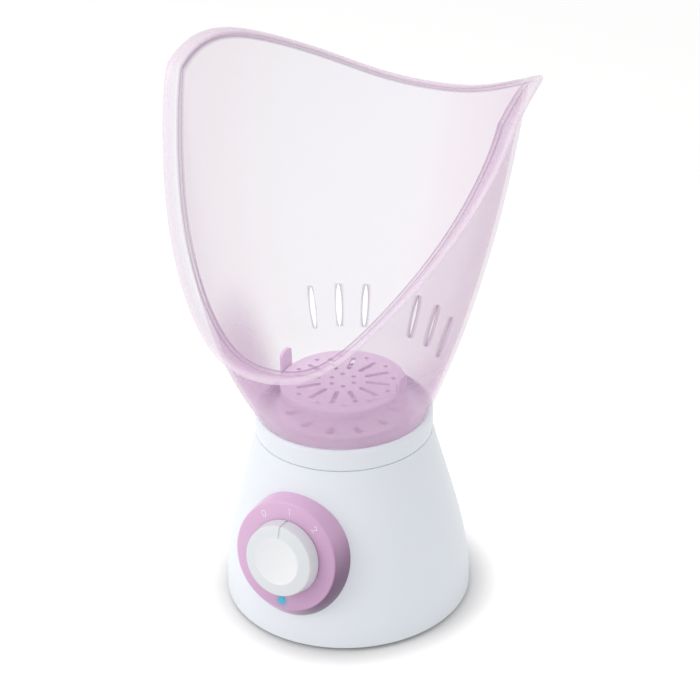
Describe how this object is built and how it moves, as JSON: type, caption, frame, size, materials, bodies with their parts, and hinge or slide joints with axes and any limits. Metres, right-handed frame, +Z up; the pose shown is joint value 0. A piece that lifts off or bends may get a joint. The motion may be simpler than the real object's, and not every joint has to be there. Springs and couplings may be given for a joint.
{
  "type": "facial steamer",
  "caption": "Bell-shaped facial steamer with a round dial, a removable scented-steam insert and a wide clear face mask.",
  "frame": {"origin": "on the table under the middle of the round base, at the rubber feet's undersides", "axes": "+Z up along the base's axis; -Y towards the user and the dial; +X to the user's right as they look along +Y"},
  "size_m": [0.2029, 0.1977, 0.3101],
  "materials": {
    "white_shell": "satin gloss",
    "grey_plastic": "fine matte",
    "foot_rubber": "matte",
    "screw_steel": "zinc plated",
    "bowl_metal": "satin",
    "seal_silicone": "matte",
    "heater_metal": "cast",
    "element_steel": "sheathed tube",
    "pink_plastic": "gloss",
    "switch_plastic": "matte",
    "terminal_brass": "tinned",
    "lens_clear": "clear",
    "board_green": "solder mask",
    "wire_brown": "silicone sleeve",
    "wire_blue": "silicone sleeve",
    "wire_white": "silicone sleeve",
    "mask_plastic": "clear tinted",
    "aroma_plastic": "clear tinted"
  },
  "bodies": {
    "base": {"base_housing": "white_shell", "base_plate": "grey_plastic", "rubber_feet": "foot_rubber", "base_screws": "screw_steel", "collar_ring": "white_shell", "collar_screws": "screw_steel", "water_bowl": "bowl_metal", "bowl_seal": "seal_silicone", "heater_plate": "heater_metal", "heating_element": "element_steel", "heater_studs": "screw_steel", "heater_nuts": "screw_steel", "thermostat": "switch_plastic", "thermostat_screws": "screw_steel", "thermal_fuse": "screw_steel", "fuse_clip": "screw_steel", "dial_bezel": "pink_plastic", "switch_body": "switch_plastic", "switch_terminals": "terminal_brass", "switch_nut": "screw_steel", "indicator_lens": "lens_clear", "power_led": "lens_clear", "led_board": "board_green", "led_resistor": "wire_brown", "led_leads": "wire_white", "cord_gland": "grey_plastic", "terminal_block": "wire_white", "terminal_screws": "terminal_brass", "wire_live": "wire_brown", "wire_switched": "wire_brown", "wire_neutral": "wire_blue", "wire_fuse": "wire_blue", "wire_thermostat": "wire_blue"},
    "mask": {"face_mask": "mask_plastic"},
    "aroma_tray_body": {"aroma_tray": "aroma_plastic"},
    "aroma_lid_body": {"aroma_lid": "aroma_plastic"},
    "dial": {"knob": "white_shell", "switch_shaft": "screw_steel"}
  },
  "joints": [
    {"name": "dial_turn", "type": "hinge", "parent": "base", "child": "dial", "pos_m": [0, -0.06879, 0.0575], "axis": [0, -0.977, 0.213], "range_deg": [-39, 38]},
    {"name": "mask_lift", "type": "slide", "parent": "base", "child": "mask", "axis": [0, 0, 1], "range_m": [0, 0.08]},
    {"name": "aroma_tray_lift", "type": "slide", "parent": "base", "child": "aroma_tray_body", "axis": [0, 0, 1], "range_m": [0, 0.06]},
    {"name": "aroma_lid_lift", "type": "slide", "parent": "aroma_tray_body", "child": "aroma_lid_body", "axis": [0, 0, 1], "range_m": [0, 0.03]}
  ]
}
